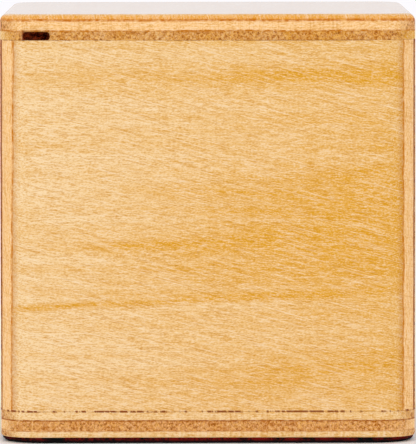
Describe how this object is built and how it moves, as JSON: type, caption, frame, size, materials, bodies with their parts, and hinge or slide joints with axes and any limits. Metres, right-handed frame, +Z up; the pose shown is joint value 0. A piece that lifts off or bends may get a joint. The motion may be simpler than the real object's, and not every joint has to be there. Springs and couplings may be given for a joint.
{
  "type": "wooden puzzle box",
  "caption": "Cube-shaped plywood puzzle box with a lift-off lid, locked by sliding steel pins that spinning throws clear.",
  "frame": {"origin": "middle of the base, on the surface the box stands on", "axes": "+Z up, the front face with the lift notch faces -Y, +X is to the right seen from the front"},
  "size_m": [0.08, 0.08, 0.0826],
  "materials": {
    "varnished_plywood": "clear satin varnish over birch plywood, sanded faces, plies showing at the edges",
    "bare_plywood": "unvarnished birch plywood",
    "steel": "ground steel dowel pin",
    "nickel_plate": "bright nickel plating on a disc magnet",
    "felt": "near-black wool felt"
  },
  "bodies": {
    "box": {"bottom_plate": "varnished_plywood", "front_panel": "varnished_plywood", "back_panel": "varnished_plywood", "left_panel": "varnished_plywood", "right_panel": "varnished_plywood", "base_pad": "felt", "frame_long_block_front_left": "bare_plywood", "frame_long_block_front_right": "bare_plywood", "frame_long_block_back_left": "bare_plywood", "frame_long_block_back_right": "bare_plywood", "frame_short_block_front_left": "bare_plywood", "frame_short_block_front_right": "bare_plywood", "frame_short_block_back_left": "bare_plywood", "frame_short_block_back_right": "bare_plywood", "frame_lower_ring": "bare_plywood", "frame_upper_ring": "bare_plywood"},
    "lid": {"lid_plate": "varnished_plywood", "hub_upper_board": "bare_plywood", "hub_lower_board": "bare_plywood", "hub_block_front_left": "bare_plywood", "hub_block_front_right": "bare_plywood", "hub_block_back_left": "bare_plywood", "hub_block_back_right": "bare_plywood", "magnet_right": "nickel_plate", "magnet_back": "nickel_plate", "magnet_left": "nickel_plate", "magnet_front": "nickel_plate"},
    "pin_right": {"lock_pin_right": "steel"},
    "pin_back": {"lock_pin_back": "steel"},
    "pin_left": {"lock_pin_left": "steel"},
    "pin_front": {"lock_pin_front": "steel"}
  },
  "joints": [
    {"name": "lid_lift", "type": "slide", "parent": "box", "child": "lid", "axis": [0, 0, 1], "range_m": [0, 0.04]},
    {"name": "pin_right_slide", "type": "slide", "parent": "box", "child": "pin_right", "axis": [1, 0, 0], "range_m": [-0.007, 0]},
    {"name": "pin_back_slide", "type": "slide", "parent": "box", "child": "pin_back", "axis": [0, 1, 0], "range_m": [-0.007, 0]},
    {"name": "pin_left_slide", "type": "slide", "parent": "box", "child": "pin_left", "axis": [-1, 0, 0], "range_m": [-0.007, 0]},
    {"name": "pin_front_slide", "type": "slide", "parent": "box", "child": "pin_front", "axis": [0, -1, 0], "range_m": [-0.007, 0]}
  ]
}
